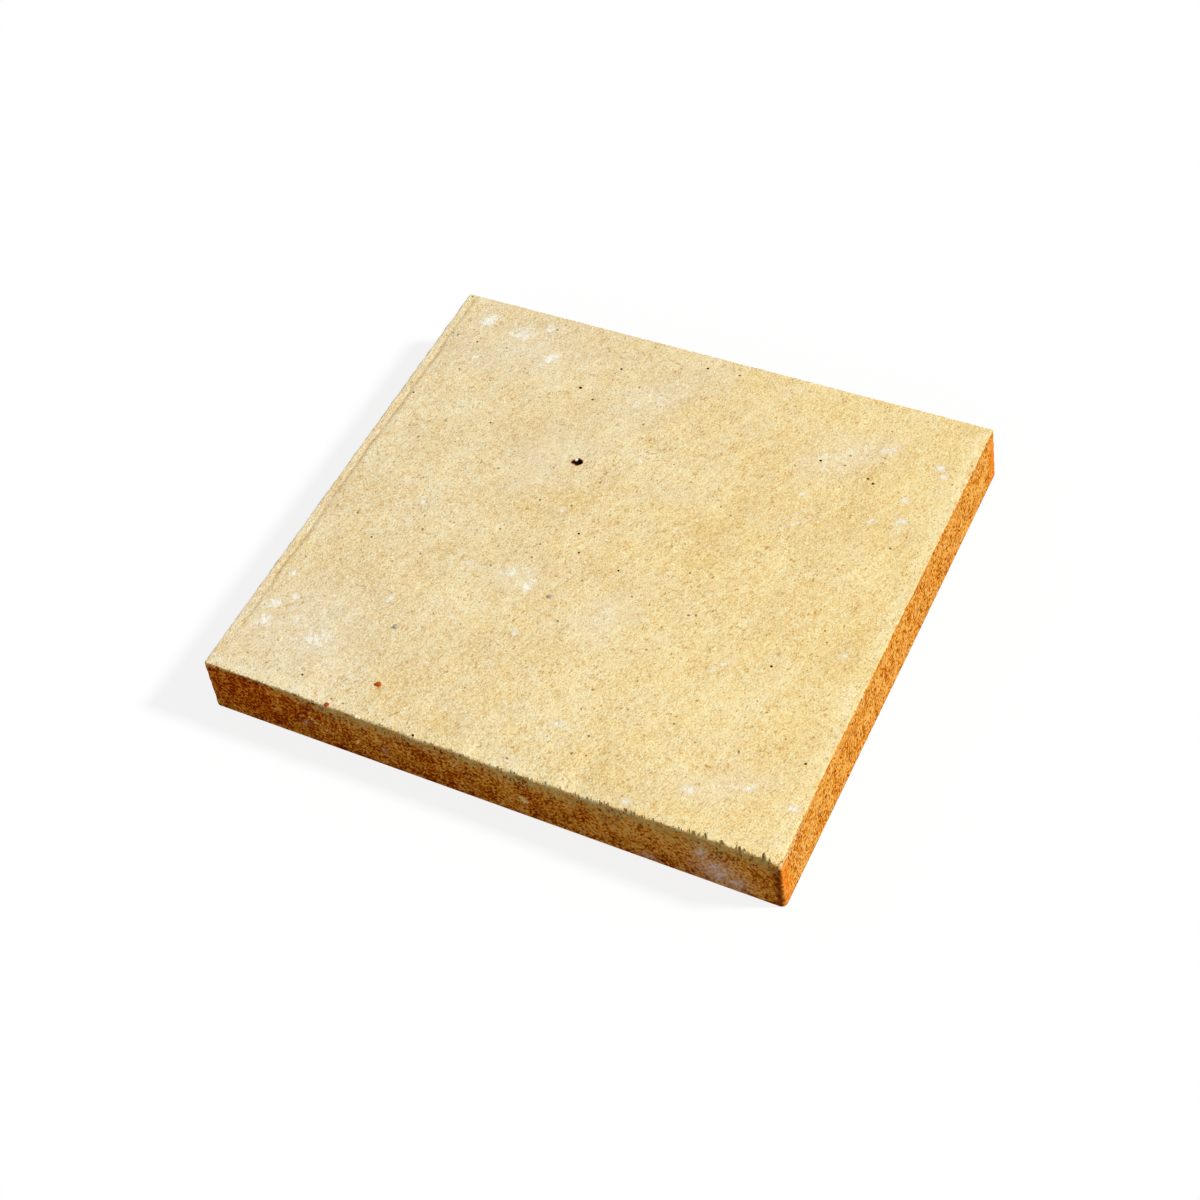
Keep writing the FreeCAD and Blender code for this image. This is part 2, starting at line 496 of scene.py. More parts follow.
def struck_sheet(plan, x_lines, y_lines):
    """Struck face as a grid, its rim carried halfway round the arris.

    Within the arris radius r of the outline, the distance d from it becomes the angle
    (1 - d / r) * 45 degrees on the arris's arc. Gives places, normals, outward directions and distances."""
    x, y = np.meshgrid(x_lines, y_lines)
    places, depth, outward = rounded_plan(plan, x, y)
    radius = plan.arris_radius(lifted(places + outward * depth[..., None], plan.height))
    angle = np.clip(1 - depth / radius, 0, 1) * math.pi / 4
    shift = np.where(angle > 0, depth - radius * (1 - np.sin(angle)), 0)
    drop = radius * (1 - np.cos(angle))
    points = lifted(places + outward * shift[..., None], plan.height - drop)
    normals = lifted(outward * np.sin(angle)[..., None], np.cos(angle))
    return points, normals, outward, depth


def rim_of(grid):
    """The grid's outermost entries, once round from the front left corner, counter-clockwise from above."""
    return np.concatenate([grid[0, :-1], grid[:-1, -1], grid[-1, :0:-1], grid[:0:-1, 0]])


def side_rows(plan):
    """Depths of the sides' rows below the struck face, crowded at both arrises."""
    middle = plan.height / 2
    return middle + crowded_lines(middle, SIDE_ROWS, (-middle, middle), reach=3 * MM, pull=2.0)


def side_skirt(plan, x_lines, y_lines):
    """The four sides as rows from the struck arris down to the bed's edge.

    Depth h below the struck face runs round the rest of the arris's arc, down the leaning side and
    round the bed arris, where the outline draws in along a quarter circle. Gives places, normals, outward
    directions and depths."""
    x, y = np.meshgrid(x_lines, y_lines)
    places, _, directions = rounded_plan(plan, x, y)
    rim = rim_of(places)
    outward = rim_of(directions)
    radius = plan.arris_radius(lifted(rim, plan.height))
    bed = plan.shape.bed_radius
    down = side_rows(plan)[1:, None]
    angle = (1 + np.clip(down / radius, 0, 1)) * math.pi / 4
    drop = np.where(down < radius, radius * (1 - np.cos(angle)), down)
    above = np.clip(plan.height - drop, 0, bed)
    inset = radius * (1 - np.sin(angle)) + bed - np.sqrt(bed ** 2 - (bed - above) ** 2)
    reach = (drop * plan.slope - inset)[..., None]
    points = lifted(rim + outward * reach, plan.height - drop)
    lean = np.where(drop < radius, np.cos(angle), math.sin(plan.shape.draft))
    normals = lifted(outward * np.sqrt(1 - lean ** 2)[..., None], lean)
    return points, normals, np.broadcast_to(outward, points.shape[:2] + (2,)), drop


def struck_swell(plan, points):
    """Height of the struck face over its plane: swell, diagonal drag marks, sandy grain and crease."""
    swell = 0.16 * MM * lattice_noise(points, 75 * MM, 1) + 0.08 * MM * lattice_noise(points, 22 * MM, 2)
    turn = math.radians(DRAG_DEG)
    along = points[..., 0] * math.cos(turn) + points[..., 1] * math.sin(turn)
    across = points[..., 1] * math.cos(turn) - points[..., 0] * math.sin(turn)
    dragged = stacked(along / 6, across, np.zeros_like(along))
    drag = 0.04 * MM * lattice_noise(dragged, 3 * MM, 3)
    grain = 0.06 * MM * lattice_noise(points, 3 * MM, 4)
    return swell + drag + grain - crease_relief(plan, points)


def struck_relief(plan, points):
    """Height of the struck face over its plane, with the pit."""
    return struck_swell(plan, points) + pit_relief(plan, points)


def crease_share(plan, points):
    """Wandering crease beside the left side, a bell across its line, broken up along it: 0 to about 1.
    Also gives the distance inside the line."""
    y = points[..., 1]
    path = stacked(np.zeros_like(y), y, np.zeros_like(y))
    wander = 0.5 * MM * lattice_noise(path, 16 * MM, 21) + 0.3 * MM * lattice_noise(path, 4 * MM, 22)
    inside = points[..., 0] + plan.half_x - plan.shape.crease_inset - wander
    start = eased(plan.half_y - 1 * MM, plan.half_y - 7 * MM, y)
    end = eased(12 * MM - plan.half_y, 45 * MM - plan.half_y, y)
    broken = 0.75 + 0.25 * lattice_noise(path, 7 * MM, 23)
    return start * end * broken * bell(inside, 0.8 * MM), inside


def crease_relief(plan, points):
    """Depth of the crease, with the strip outside it pressed a little lower."""
    share, inside = crease_share(plan, points)
    strip = 0.05 * MM * eased(0.4 * MM, -0.4 * MM, inside)
    return plan.shape.crease_depth * share + strip


def pit_distance(plan, points):
    """Distance past the pit's ragged rim, the nearer of two circles: below zero inside."""
    radius = plan.shape.pit_radius
    away = points[..., :2] - plan.pit
    lobe = away - np.array([-1.13, -0.30]) * radius
    ragged = 0.22 * radius * lattice_noise(points, 1.1 * MM, 31)
    main = np.linalg.norm(away, axis=-1) - radius
    side = np.linalg.norm(lobe, axis=-1) - 0.55 * radius
    return np.minimum(main, side) + ragged


def pit_relief(plan, points):
    """Burnt-out hollow: falls away steeply inside the rim, with a slight swell round it."""
    past = pit_distance(plan, points)
    hollow = plan.shape.pit_depth * np.sqrt(np.clip(-past / plan.shape.pit_radius, 0, 1))
    return 0.12 * MM * bell(past - 0.5 * MM, 0.7 * MM) - hollow


def side_pits(points):
    """Share of a side that has torn out, from 0 to 1: where a noise is high."""
    return eased(0.30, 0.80, lattice_noise(points, 3.2 * MM, 44))


def side_relief(points):
    """Torn body of the sides: lumps, coarse grain and pits."""
    lump = 0.15 * MM * lattice_noise(points, 7 * MM, 41)
    grain = 0.22 * MM * lattice_noise(points, 2.6 * MM, 42) + 0.12 * MM * lattice_noise(points, 1.5 * MM, 43)
    return lump + grain - 0.4 * MM * side_pits(points)


def worn_off(plan, points):
    """Pushes what stands inside a wide ball at the front right point back onto it, against the ball's lean.

    The ball sinks to the wear's depth below the sharp point and is the wear's width in the plane square to
    its lean, so at the distance a from its axis it lies
    radius - depth - sqrt(radius ** 2 - a ** 2) along the lean."""
    depth = plan.shape.worn_depth
    radius = ((plan.shape.worn_width / 2) ** 2 + depth ** 2) / (2 * depth)
    lean = np.array([1, -1, 1]) / math.sqrt(3)
    away = points - plan.point
    stand = away @ lean
    aside = np.linalg.norm(away - stand[:, None] * lean, axis=-1)
    surface = radius - depth - np.sqrt(np.maximum(radius ** 2 - aside ** 2, 0))
    ragged = 0.25 * MM * lattice_noise(points, 2.4 * MM, 46)
    return points - np.maximum(stand - surface + ragged, 0)[:, None] * lean


# What the finish reads at each point

def side_shares(outward):
    """How much of the outward direction is the front's, the right side's, the back's and the left side's."""
    x, y = np.clip(outward.T, -1, 1)
    return np.maximum(-y, 0) ** 2, np.maximum(x, 0) ** 2, np.maximum(y, 0) ** 2, np.maximum(-x, 0) ** 2


def skin_share(plan, points, outward, inward):
    """Hold of the cream skin: well over 1 where it is whole, and about 0 where the body is bare.

    At the arris it has a hold of its own, which dies away down the side and recovers inside, each
    by its own reach: hold * exp(-down / below) and 1 - (1 - hold) * exp(-in / inside)."""
    front, right, back, left = side_shares(outward)
    ragged = 1 + 0.30 * lattice_noise(points, 14 * MM, 51) + 0.20 * lattice_noise(points, 5 * MM, 52)
    x = points[:, 0]
    near = eased(-0.6, -1, points[:, 1] / plan.half_y)
    front_below = 1 + 3.5 * eased(-110 * MM, -70 * MM, x)
    front_below = front_below + 1.6 * eased(15 * MM, 55 * MM, x) - 1.5 * eased(100 * MM, 135 * MM, x)
    front_hold = 0.92 - 0.4 * eased(-118 * MM, -130 * MM, x)
    hold = front_hold * front + (0.28 + 0.25 * near) * right + 0.85 * (back + left)
    below = (front_below * front + (2.0 + 2.5 * near) * right + 2.5 * back + 3.0 * left) * MM * ragged
    inside = (0.4 * (front + back + left) + (1.2 + 0.3 * near) * right) * MM
    share = np.where(
        inward < 0,
        hold * np.exp(np.minimum(inward, 0) / below),
        1 - (1 - hold) * np.exp(-np.maximum(inward, 0) / inside),
    )
    return 1.5 * share - 0.05


def arris_highlight_and_field(points, outward, inward):
    """Pale band inside the front and right arrises of the struck face, painted highlight that stands in for
    the light on the right arris's rounding, and a fainter pale field towards their corner, 0 to 1."""
    front, right, _, _ = side_shares(outward)
    band = (0.5 * front + right) * bell(inward - 3.5 * MM, 3.5 * MM) * eased(0, 1 * MM, inward)
    field = 0.5 * bell(points[:, 0] - 80 * MM, 55 * MM) * bell(points[:, 1] + 75 * MM, 40 * MM)
    return np.maximum(band, field)


def marked(marks, first, second):
    """Greatest of the listed marks at each place: a bell along each mark times one across it, by its
    strength."""
    cover = np.zeros(len(first))
    for mark_first, mark_second, half_length, half_width, turn, strength in marks:
        cosine = math.cos(math.radians(turn))
        sine = math.sin(math.radians(turn))
        along = (first - mark_first) * cosine + (second - mark_second) * sine
        across = (second - mark_second) * cosine - (first - mark_first) * sine
        cover = np.maximum(cover, strength * bell(along, half_length) * bell(across, half_width))
    return cover


def chalk_cover(points, normals):
    """Strength of the dust on the struck face and on the front side."""
    x, y, z = points.T / MM
    struck = marked(CHALK_MARKS, x, y) * eased(0.5, 0.9, normals[:, 2])
    front = marked(FRONT_DUST, x, z) * eased(0.5, 0.9, -normals[:, 1])
    return np.maximum(struck, front)


def flame_flash_and_shade(plan, points, outward, upward):
    """How lightly the kiln's flame touched the clay, about 0 to 1, with painted shade in it.

    On the struck face it rises from left to right. The front is burnt at its left end. It is darker than the
    right side all along, partly as painted shade, and its darkening low down in the middle and at its right
    end beside the upright corner is painted shade. The right side is the lightest."""
    x = points[:, 0]
    share = x / plan.half_x
    front, right, back, left = side_shares(outward)
    struck = eased(-1.3, 1.1, share)
    low = eased(20 * MM, 9 * MM, points[:, 2]) * bell(x + 5 * MM, 50 * MM)
    along = 0.17 + 0.22 * eased(-1, -0.35, share) + 0.15 * eased(-0.3, 0.8, share)
    # The front's low level is partly painted shade
    along = along - 0.07 * low - 0.22 * eased(120 * MM, 134 * MM, x)
    sides = along * front + 0.68 * right + 0.58 * back + 0.42 * left
    noise = lattice_noise(points, 45 * MM, 53)
    return upward * (struck + 0.10 * noise) + (1 - upward) * (sides + 0.05 * noise)


def front_shade_and_nicks(plan, points, outward):
    """Dark marks on the front side: nicks, painted shadow lines under the torn ridges, and a stripe of
    painted shade beside its right upright corner.
    """
    front, _, _, _ = side_shares(outward)
    x, _, z = points.T
    ragged = 0.5 * MM * lattice_noise(points, 2.5 * MM, 54)
    end = plan.half_x + (plan.height - z) * plan.slope
    # Painted shade: the dark stripe down the front beside its right upright corner
    stripe = 0.9 * eased(5 * MM, 1.8 * MM, end - x + 2 * ragged) * eased(1 * MM, 5 * MM, plan.height - z)
    return front * np.maximum(marked(NICKS_AND_RIDGE_SHADOWS, x / MM, z / MM), stripe)


def right_shade_lines(plan, points, outward):
    """Thin broken lines of painted shade on the right side, under its arris and above the bed."""
    _, right, _, _ = side_shares(outward)
    z = points[:, 2]
    broken = 0.5 + 0.5 * lattice_noise(points * np.array([1, 1, 0]), 6 * MM, 56)
    # Painted shade under the arris and along the bed
    under = 0.65 * bell(plan.height - z - 1.0 * MM, 0.7 * MM)
    return right * broken * np.maximum(under, 0.5 * eased(1.6 * MM, 0.4 * MM, z))


def ember_end(plan, points, outward):
    """Bright ends of the right side beside its upright corners, 0 to 1, with a ragged edge."""
    _, right, _, _ = side_shares(outward)
    ragged = 2 * MM * lattice_noise(points, 4 * MM, 55)
    near = eased(13 * MM, 2 * MM, plan.half_y + points[:, 1] + ragged)
    far = eased(14 * MM, 3 * MM, plan.half_y - points[:, 1] + ragged)
    return right * (near + far) * eased(1 * MM, 5 * MM, plan.height - points[:, 2])


# Slab's net

def halving_ring(outer, inner):
    """Triangles from a ring of points to one of half as many inside it, facing down."""
    first = outer[0::2]
    second = outer[1::2]
    third = np.roll(first, -1)
    after = np.roll(inner, -1)
    return np.concatenate([
        stacked(first, inner, second),
        stacked(second, inner, after),
        stacked(second, after, third),
    ])


def bed_net(rim, rim_index, next_index):
    """Level bed inside its rim: rings that halve their points, then a coarse grid. Gives points and faces."""
    points = []
    triangles = []
    ring = rim
    outer = rim_index
    for shrink in BED_SHRINK:
        ring = ring[::2]
        inner = next_index + np.arange(len(ring))
        points.append(lifted(ring[:, :2] * shrink, 0.0))
        triangles.append(halving_ring(outer, inner))
        outer = inner
        next_index += len(ring)
    step = 2 ** len(BED_SHRINK)
    columns = CELLS_X // step
    rows = CELLS_Y // step
    index = np.zeros((rows + 1, columns + 1), dtype=np.int64)
    index[0, :-1] = outer[:columns]
    index[:-1, -1] = outer[columns:columns + rows]
    index[-1, :0:-1] = outer[columns + rows:2 * columns + rows]
    index[:0:-1, 0] = outer[2 * columns + rows:]
    border = points[-1]
    across_x, across_y = np.meshgrid(border[1:columns, 0], border[columns + 1:columns + rows, 1])
    index[1:-1, 1:-1] = next_index + np.arange(across_x.size).reshape(across_x.shape)
    points.append(stacked(across_x.ravel(), across_y.ravel(), np.zeros(across_x.size)))
    quads = stacked(index[:-1, :-1], index[1:, :-1], index[1:, 1:], index[:-1, 1:])
    return np.concatenate(points), np.concatenate(triangles), quads.reshape(-1, 4)


def wall_layout(plan, rim):
    """UV corners of the sides' quads: four strips above the struck face's island, one for each side.

    Along a strip goes the distance round the rim from that side's start, and up it the height."""
    scale = STRUCK_SHARE / (2 * plan.half_x)
    steps = np.linalg.norm(np.roll(rim, -1, axis=0) - rim, axis=-1)
    along = np.concatenate([[0], np.cumsum(steps)])
    starts = np.array([0, CELLS_X, CELLS_X + CELLS_Y, 2 * CELLS_X + CELLS_Y])
    columns = np.arange(len(rim))
    strip = np.searchsorted(starts, columns, side="right") - 1
    near = UV_MARGIN + (along[columns] - along[starts[strip]]) * scale
    far = UV_MARGIN + (along[columns + 1] - along[starts[strip]]) * scale
    base = 2 * UV_MARGIN + 2 * plan.half_y * scale + strip * STRIP_PITCH
    rise = (plan.height - side_rows(plan)) * scale
    upper = base + rise[:-1, None]
    lower = base + rise[1:, None]
    near, far = np.broadcast_to(near, upper.shape), np.broadcast_to(far, upper.shape)
    corners = [(near, upper), (near, lower), (far, lower), (far, upper)]
    return np.stack([stacked(*corner) for corner in corners], axis=-2)


def slab_surface(plan):
    """Whole slab as one closed net. Gives points, groups of faces with their UV corners, and what the finish
    reads."""
    pit_x, pit_y = plan.pit
    x_lines = crowded_lines(plan.half_x, CELLS_X, (-plan.half_x, plan.half_x, pit_x), reach=4 * MM, pull=1.5)
    y_lines = crowded_lines(plan.half_y, CELLS_Y, (-plan.half_y, plan.half_y, pit_y), reach=4 * MM, pull=4.0)
    top, top_normals, top_outward, depth = struck_sheet(plan, x_lines, y_lines)
    side, side_normals, side_outward, down = side_skirt(plan, x_lines, y_lines)
    top_index = np.arange(depth.size).reshape(depth.shape)
    side_index = depth.size + np.arange(down.size).reshape(down.shape)

    points = np.concatenate([top.reshape(-1, 3), side.reshape(-1, 3)])
    normals = np.concatenate([top_normals.reshape(-1, 3), side_normals.reshape(-1, 3)])
    outward = np.concatenate([top_outward.reshape(-1, 2), side_outward.reshape(-1, 2)])
    inward = np.concatenate([depth.ravel(), -down.ravel()])
    upward = eased(0.15, 0.85, normals[:, 2])
    relief = upward * struck_relief(plan, points) + (1 - upward) * side_relief(points)
    relief = relief * eased(0, 2.5 * MM, points[:, 2])
    crease, _ = crease_share(plan, points)
    # Painted shade in the side pits, under the torn ridges, beside the front's right upright corner and along
    # the right side's arris and bed, with the front's nicks
    side_shade_and_nicks = np.maximum(PIT_SHADE * side_pits(points), front_shade_and_nicks(plan, points, outward))
    side_shade_and_nicks = np.maximum(side_shade_and_nicks, right_shade_lines(plan, points, outward))
    read = {
        "skin": skin_share(plan, points, outward, inward),
        "chalk": chalk_cover(points, normals),
        "pale_highlight_and_field": arris_highlight_and_field(points, outward, inward),
        "flash_and_shade": flame_flash_and_shade(plan, points, outward, upward),
        "shade_and_nicks": np.maximum(upward * crease * CREASE_SHADE, (1 - upward) * side_shade_and_nicks),
        "burn": upward * eased(0.9 * MM, -0.5 * MM, pit_distance(plan, points)),
        "ember": (1 - upward) * ember_end(plan, points, outward),
        "right": side_shares(outward)[1],
    }
    drop = plan.dip_drop(points)
    points = points + normals * relief[:, None]
    points[:, 2] -= drop
    points = worn_off(plan, points)
    points[side_index[-1], 2] = 0

    struck = stacked(top_index[:-1, :-1], top_index[:-1, 1:], top_index[1:, 1:], top_index[1:, :-1])
    struck = struck.reshape(-1, 4)
    upper = np.concatenate([rim_of(top_index)[None], side_index[:-1]])
    walls = stacked(upper, side_index, np.roll(side_index, -1, axis=1), np.roll(upper, -1, axis=1))
    bed_points, bed_triangles, bed_quads = bed_net(points[side_index[-1]], side_index[-1], len(points))
    points = np.concatenate([points, bed_points])
    bare = {"skin": -1.0, "flash_and_shade": 0.5}
    for key in read:
        read[key] = np.concatenate([read[key], np.full(len(bed_points), bare.get(key, 0.0))])

    half = np.array([plan.half_x, plan.half_y])
    struck_uv = UV_MARGIN + (points[:, :2] + half) * STRUCK_SHARE / (2 * plan.half_x)
    bed_uv = (points[:, :2] * np.array([1, -1]) + half) * BED_SHARE / (2 * plan.half_x)
    bed_uv = bed_uv + np.array([STRUCK_SHARE + 3 * UV_MARGIN, 2 * UV_MARGIN])
    groups = (
        (struck, struck_uv[struck]),
        (walls.reshape(-1, 4), wall_layout(plan, rim_of(top)).reshape(-1, 4, 2)),
        (bed_triangles, bed_uv[bed_triangles]),
        (bed_quads, bed_uv[bed_quads]),
    )
    return points, groups, read


def add_piece(name, points, faces, read, material):
    """Makes a smooth mesh object at the origin, with a number of each kind at each point, and hands it to the
    slab's body."""
    mesh = bpy.data.meshes.new(name)
    mesh.from_pydata(points.tolist(), [], faces)
    mesh.polygons.foreach_set("use_smooth", np.ones(len(mesh.polygons), dtype=bool))
    for key, values in read.items():
        layer = mesh.attributes.new(key, "FLOAT", "POINT")
        layer.data.foreach_set("value", values.astype(np.float32))
    mesh.materials.append(material)
    piece = bpy.data.objects.new(name, mesh)
    bpy.context.scene.collection.objects.link(piece)
    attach(piece, BODY)
    return piece


# Lumps

def ball_grid(around, rows):
    """Unit ball: rings of points by turn and tilt between two poles, and its triangles."""
    turn = np.arange(around) * 2 * math.pi / around
    tilt = np.linspace(0, math.pi, rows + 2)[1:-1, None]
    rings = stacked(np.sin(tilt) * np.cos(turn), np.sin(tilt) * np.sin(turn), np.cos(tilt) * np.ones(around))
    points = np.concatenate([rings.reshape(-1, 3), [[0, 0, 1], [0, 0, -1]]])
    index = np.arange(rows * around).reshape(rows, around)
    after = np.roll(index, -1, axis=1)
    top = np.full(around, rows * around)
    triangles = (
        stacked(index[:-1], index[1:], after[1:]).reshape(-1, 3),
        stacked(index[:-1], after[1:], after[:-1]).reshape(-1, 3),
        stacked(top, index[0], after[0]),
        stacked(top + 1, after[-1], index[-1]),
    )
    return points, np.concatenate(triangles)


def lumps(centres, sizes, seed, rough=0.35, skew=0.0):
    """Joined lumps: the unit ball with a noisy radius, stretched to each size, with that share of y added
    to x, and set at each centre. Also gives each point a tone from 0 to 1 that is one for the whole lump."""
    ball, triangles = ball_grid(LUMP_AROUND, LUMP_ROWS)
    count = np.arange(len(centres))
    place = count[:, None, None] * np.array(LUMP_STEPS) + ball[None]
    radius = 1 + rough * lattice_noise(place, 0.8, seed)
    offsets = ball[None] * radius[..., None] * sizes[:, None, :]
    offsets[..., 0] += skew * offsets[..., 1]
    points = centres[:, None, :] + offsets
    faces = triangles[None] + (count * len(ball))[:, None, None]
    tone = hashed(stacked(count, count, count), seed) / 2 + 0.5
    return points.reshape(-1, 3), faces.reshape(-1, 3).tolist(), {"tone": np.repeat(tone, len(ball))}


def struck_specks(plan, specks, seed):
    """Flat lumps let into the struck face at the listed specks."""
    x, y, width = np.array(specks, dtype=float).T * MM
    places = stacked(x, y, np.full_like(x, plan.height))
    rise = struck_swell(plan, places) - plan.dip_drop(places) - 0.1 * width
    centres = places + rise[:, None] * np.array([0, 0, 1])
    sizes = width[:, None] * np.array(SPECK_SHARES)
    return lumps(centres, sizes, seed)


def arris_places(plan, x, angle):
    """Places on the front arris at that angle round it from the struck face."""
    edge = stacked(x, np.full_like(x, -plan.half_y), np.full_like(x, plan.height))
    radius = plan.arris_radius(edge)
    fall = radius * (1 - np.cos(angle)) + plan.dip_drop(edge)
    return edge + stacked(np.zeros_like(x), radius * (1 - np.sin(angle)), -fall)


def arris_crumbs(plan, seed):
    """Crumbs that lie across the front arris: many small ones by chance, smaller to the left, and the long
    listed ones."""
    chance = np.random.default_rng(seed)
    x = chance.uniform(-PLACED_SHARE, PLACED_SHARE, CRUMB_COUNT) * plan.half_x
    small = (0.20 + 0.6 * chance.random(CRUMB_COUNT) ** 3) * MM
    small = small * (0.5 + 0.5 * eased(-0.5, 0.3, x / plan.half_x))
    long_x, long = np.array(LONG_CRUMBS).T * MM
    low = arris_places(plan, x, chance.uniform(0.1, 0.8, CRUMB_COUNT))
    high = arris_places(plan, long_x, 0.2)
    low[:, 1] += 0.4 * small
    high[:, 1] += 0.4 * long
    low_sizes = small[:, None] * chance.uniform(0.7, 1.3, (CRUMB_COUNT, 3)) * np.array([0.55, 1.2, 0.8])
    high_sizes = long[:, None] * np.array([0.36, 1.0, 0.5])
    sizes = np.concatenate([low_sizes, high_sizes])
    return lumps(np.concatenate([low, high]), sizes, seed, rough=0.5, skew=-0.6)


def side_grit(plan, seed):
    """Coarse grains that stand out of the four sides, by chance."""
    chance = np.random.default_rng(seed)
    side = chance.choice(4, GRIT_COUNT, p=GRIT_SHARES)
    outward = np.array([(0, -1, 0), (1, 0, 0), (0, 1, 0), (-1, 0, 0)], dtype=float)[side]
    along = stacked(-outward[:, 1], outward[:, 0], np.zeros(GRIT_COUNT))
    half = np.array([plan.half_x, plan.half_y, 0])
    drop = chance.uniform(4 * MM, plan.height - 2 * MM, GRIT_COUNT)
    reach = np.abs(outward) @ half + drop * plan.slope
    slide = np.abs(along) @ half * chance.uniform(-PLACED_SHARE, PLACED_SHARE, GRIT_COUNT)
    centres = outward * reach[:, None] + along * slide[:, None]
    centres[:, 2] = plan.height - drop
    centres += outward * (side_relief(centres) - 0.1 * MM)[:, None]
    size = (0.3 + 0.6 * chance.random(GRIT_COUNT) ** 2) * MM
    sizes = size[:, None] * (1 - 0.45 * np.abs(outward)) * chance.uniform(0.75, 1.25, (GRIT_COUNT, 3))
    return lumps(centres, sizes, seed, rough=0.4)


def front_chips(plan, chips, stand, seed):
    """Chips at the listed spots on the front side or its arris, which stand out by that share of their half
    width."""
    x, z, width = np.array(chips, dtype=float).T * MM
    y = -plan.half_y - (plan.height - z) * plan.slope
    centres = stacked(x, y, z)
    centres[:, 1] -= side_relief(centres)
    sizes = width[:, None] * np.array([1.0, stand, 0.7])
    return lumps(centres, sizes, seed, rough=0.4)


def front_ridges(plan, seed):
    """Torn ridges on the front side, each a chain of lumps from end to end."""
    ends = np.array(FRONT_RIDGES, dtype=float)
    share = np.linspace(0, 1, RIDGE_LUMPS)[None, :, None]
    places = (ends[:, None, :2] * (1 - share) + ends[:, None, 2:] * share).reshape(-1, 2)
    width = 0.55 + 0.25 * np.sin(np.arange(len(places)) * 2.4)
    return front_chips(plan, np.column_stack([places, width]), stand=1.6, seed=seed)


# Finish

def add_node(tree, kind, inputs=None, **settings):
    """Adds a node, sets its own settings and gives each named socket a value or a link."""
    node = tree.nodes.new(kind)
    for key, value in settings.items():
        setattr(node, key, value)
    for key, value in (inputs or {}).items():
        if isinstance(value, bpy.types.NodeSocket):
            tree.links.new(value, node.inputs[key])
        else:
            node.inputs[key].default_value = value
    return node


def add_math(tree, operation, first, second):
    """Sum, product or other arithmetic of two numbers."""
    return add_node(tree, "ShaderNodeMath", {0: first, 1: second}, operation=operation).outputs[0]


def weighted_sum(tree, pairs):
    """Sum of numbers, each times its weight."""
    total = 0.0
    for value, weight in pairs:
        inputs = {0: value, 1: weight, 2: total}
        total = add_node(tree, "ShaderNodeMath", inputs, operation="MULTIPLY_ADD").outputs[0]
    return total


def add_noise(tree, vector, scale, detail, roughness):
    """Cloudy noise of that many lumps to the millimetre."""
    inputs = {"Vector": vector, "Scale": scale, "Detail": detail, "Roughness": roughness}
    return add_node(tree, "ShaderNodeTexNoise", inputs).outputs["Fac"]


def add_range(tree, value, low, high, to_low=0.0, to_high=1.0):
    """Carries the range from low to high smoothly into another."""
    inputs = {"Value": value, "From Min": low, "From Max": high, "To Min": to_low, "To Max": to_high}
    return add_node(tree, "ShaderNodeMapRange", inputs, interpolation_type="SMOOTHSTEP").outputs["Result"]


def add_mix(tree, share, first, second, blend="MIX"):
    """Blends two colours."""
    inputs = {0: share, 6: first, 7: second}
    return add_node(tree, "ShaderNodeMix", inputs, data_type="RGBA", blend_type=blend).outputs[2]


def opaque(colour):
    """A colour with its alpha."""
    return (*colour, 1.0)


def add_coat(tree, colour, coat, share, strength=1.0):
    """Lays a colour of the finish over another by a share from 0 to 1, which a strength may weaken."""
    if strength < 1.0:
        share = add_math(tree, "MULTIPLY", share, strength)
    return add_mix(tree, share, colour, opaque(coat))


def add_ramp(tree, value, stops):
    """Colour ramp through pairs of place and colour."""
    node = add_node(tree, "ShaderNodeValToRGB", {"Fac": value})
    ramp = node.color_ramp
    while len(ramp.elements) < len(stops):
        ramp.elements.new(1.0)
    for element, (place, colour) in zip(ramp.elements, stops):
        element.position = place
        element.color = opaque(colour)
    return node.outputs["Color"]


def add_attribute(tree, name):
    """Number kept at each point of the piece."""
    return add_node(tree, "ShaderNodeAttribute", attribute_name=name).outputs["Fac"]


def millimetres(tree):
    """Object coordinates in millimetres."""
    place = add_node(tree, "ShaderNodeTexCoord").outputs["Object"]
    return add_node(tree, "ShaderNodeMapping", {"Vector": place, "Scale": (1000, 1000, 1000)}).outputs[0]


def add_dots(tree, place, scale, rare, largest):
    """Round dots of mixed sizes, one in each cell round a scattered middle: 1 inside, 0 outside.

    The rarer, the fewer have any size. The largest is given in cells."""
    cells = add_node(tree, "ShaderNodeTexVoronoi", {"Vector": place, "Scale": scale}).outputs
    chance = add_node(tree, "ShaderNodeSeparateColor", {"Color": cells["Color"]}).outputs[0]
    size = add_range(tree, chance, rare, 1.0, 0.0, largest)
    return add_math(tree, "LESS_THAN", cells["Distance"], size)


def shaken(tree, place, scale, reach):
    """Places moved about by a noise, over that reach, which makes round dots ragged."""
    noise = add_node(tree, "ShaderNodeTexNoise", {"Vector": place, "Scale": scale, "Detail": 1.0})
    inputs = {0: noise.outputs["Color"], 1: (reach, reach, reach), 2: place}
    return add_node(tree, "ShaderNodeVectorMath", inputs, operation="MULTIPLY_ADD").outputs[0]


def dragged_noise(tree, place, length, width):
    """Noise drawn out along the strike-off's drag, its lumps of that length and width in millimetres."""
    drawn = add_node(
        tree,
        "ShaderNodeMapping",
        {"Vector": place, "Rotation": (0, 0, math.radians(DRAG_DEG)), "Scale": (length, width, width)},
        vector_type="TEXTURE",
    ).outputs[0]
    return add_noise(tree, drawn, 1.0, 2, 0.6)


